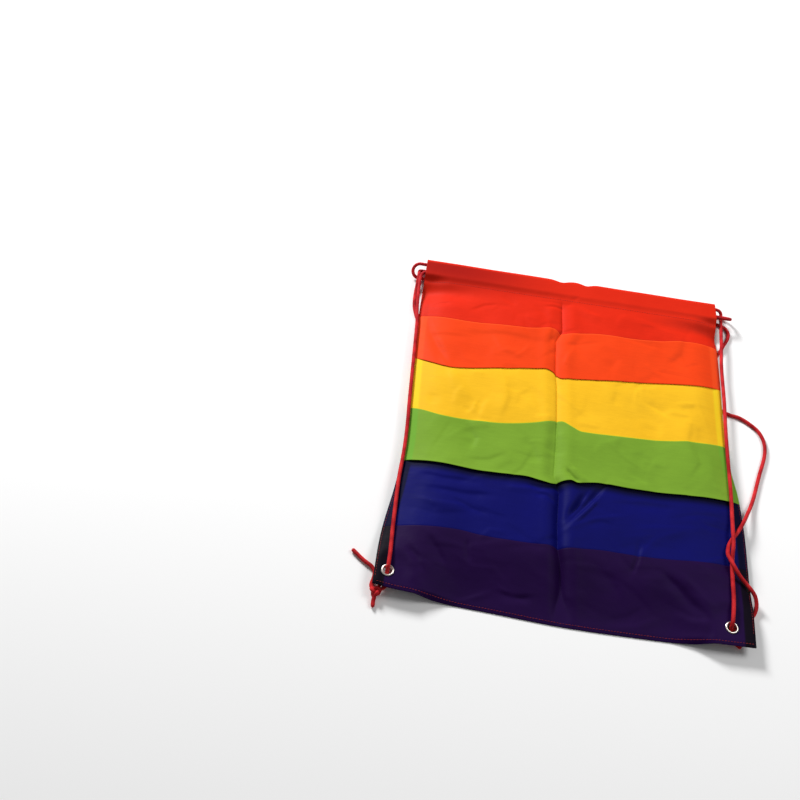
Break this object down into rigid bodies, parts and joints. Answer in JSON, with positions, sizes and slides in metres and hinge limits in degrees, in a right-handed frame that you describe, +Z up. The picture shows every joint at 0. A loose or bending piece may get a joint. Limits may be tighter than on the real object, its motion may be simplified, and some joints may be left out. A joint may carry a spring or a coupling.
{
  "type": "drawstring sack",
  "caption": "Flat cloth sack of coloured strips with hem channels at the mouth, shoulder drawcords and eyelets in the bottom corners.",
  "frame": {"origin": "middle of the sack's length and width, on the surface that it lies on", "axes": "+X across the sack, +Y from the bottom seam to the mouth, +Z up through the front wall"},
  "size_m": [0.4006, 0.4319, 0.0203],
  "materials": {
    "purple_cloth": "thin plain-woven polyester with a soft sheen",
    "blue_cloth": "thin plain-woven polyester with a soft sheen",
    "green_cloth": "thin plain-woven polyester with a soft sheen",
    "yellow_cloth": "thin plain-woven polyester with a soft sheen",
    "orange_cloth": "thin plain-woven polyester with a soft sheen",
    "red_cloth": "thin plain-woven polyester with a soft sheen",
    "nickel": "bright nickel plate",
    "red_cord": "braided polyester"
  },
  "bodies": {
    "sack": {"front_purple_strip": "purple_cloth", "front_blue_strip": "blue_cloth", "front_green_strip": "green_cloth", "front_yellow_strip": "yellow_cloth", "front_orange_strip": "orange_cloth", "front_red_strip": "red_cloth", "back_purple_strip": "purple_cloth", "back_blue_strip": "blue_cloth", "back_green_strip": "green_cloth", "back_yellow_strip": "yellow_cloth", "back_orange_strip": "orange_cloth", "back_red_strip": "red_cloth", "front_channel_hem": "red_cloth", "back_channel_hem": "red_cloth", "left_eyelet": "nickel", "left_eyelet_washer": "nickel", "right_eyelet": "nickel", "right_eyelet_washer": "nickel", "left_front_strand": "red_cord", "left_back_strand": "red_cord", "right_front_strand": "red_cord", "right_back_strand": "red_cord"},
    "left_cord_run": {"left_drawcord_run": "red_cord"},
    "right_cord_run": {"right_drawcord_run": "red_cord"},
    "left_cord_knot": {"left_knot": "red_cord", "left_knot_long_tail": "red_cord", "left_knot_short_tail": "red_cord"},
    "right_cord_knot": {"right_knot": "red_cord", "right_knot_long_tail": "red_cord", "right_knot_short_tail": "red_cord"}
  },
  "joints": [
    {"name": "left_cord_slide", "type": "slide", "parent": "sack", "child": "left_cord_run", "axis": [1, 0, 0], "range_m": [0, 0.03]},
    {"name": "right_cord_slide", "type": "slide", "parent": "sack", "child": "right_cord_run", "axis": [-1, 0, 0], "range_m": [0, 0.03]},
    {"name": "left_knot_slide", "type": "slide", "parent": "sack", "child": "left_cord_knot", "axis": [0, -1, 0], "range_m": [0, 0.015]},
    {"name": "right_knot_slide", "type": "slide", "parent": "sack", "child": "right_cord_knot", "axis": [0, -1, 0], "range_m": [0, 0.015]}
  ]
}
